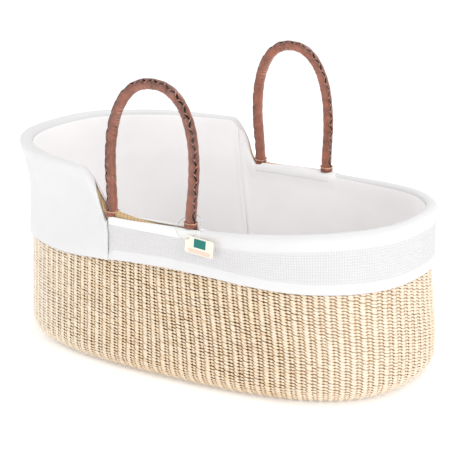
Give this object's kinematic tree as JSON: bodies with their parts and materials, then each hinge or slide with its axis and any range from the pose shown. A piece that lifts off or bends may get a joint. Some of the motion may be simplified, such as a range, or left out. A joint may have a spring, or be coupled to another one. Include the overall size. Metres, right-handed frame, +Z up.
{
  "type": "moses basket",
  "caption": "Woven grass Moses basket with a raised hooded end, a turned-down waffle cotton liner, a mattress and folding leather-bound carrying handles.",
  "frame": {"origin": "middle of the woven underside, on the floor", "axes": "+X towards the low foot end (the hood is at -X), +Y towards the rear handle, +Z up; the tagged front handle is at -Y"},
  "size_m": [0.8173, 0.4967, 0.5482],
  "materials": {
    "woven_grass": "matt, hand-woven dried grass",
    "cotton": "matt waffle-weave cotton",
    "binding": "matt cotton tape",
    "elastic": "matt",
    "foam": "soft open-cell foam",
    "sheet": "matt cotton jersey",
    "rope_core": "matt twisted grass rope",
    "leather": "satin, creased",
    "lacing": "satin",
    "band": "matt",
    "nylon": "clear, glossy",
    "card": "matt card"
  },
  "bodies": {
    "basket": {"base_weave": "woven_grass", "wall_weave": "woven_grass", "rim_border": "woven_grass", "liner_floor": "cotton", "liner_head_panel": "cotton", "liner_side_panel": "cotton", "head_flap": "cotton", "foot_flap": "cotton", "hem_elastic": "elastic", "front_slot_binding": "binding", "rear_slot_binding": "binding", "front_handle_anchors": "lacing", "rear_handle_anchors": "lacing", "tag_loop": "nylon"},
    "mattress": {"mattress_foam": "foam", "fitted_sheet": "sheet"},
    "front_handle": {"front_handle_core": "rope_core", "front_handle_leather": "leather", "front_handle_lacing": "lacing", "front_handle_boots": "lacing", "front_handle_bands": "band"},
    "rear_handle": {"rear_handle_core": "rope_core", "rear_handle_leather": "leather", "rear_handle_lacing": "lacing", "rear_handle_boots": "lacing", "rear_handle_bands": "band"},
    "tag": {"hang_tag": "card"}
  },
  "joints": [
    {"name": "front_handle_fold", "type": "hinge", "parent": "basket", "child": "front_handle", "pos_m": [-0.0095, -0.231, 0.307], "axis": [1, 0, 0], "range_deg": [-64, 60], "deforming": ["tag_loop"]},
    {"name": "rear_handle_fold", "type": "hinge", "parent": "basket", "child": "rear_handle", "pos_m": [0.0025, 0.231, 0.307], "axis": [1, 0, 0], "range_deg": [-60, 64]},
    {"name": "mattress_lift", "type": "slide", "parent": "basket", "child": "mattress", "axis": [0, 0, 1], "range_m": [0, 0.62]},
    {"name": "tag_swing", "type": "hinge", "parent": "basket", "child": "tag", "pos_m": [0.0805, -0.249, 0.2842], "axis": [1, 0, 0], "range_deg": [-80, 0]}
  ]
}
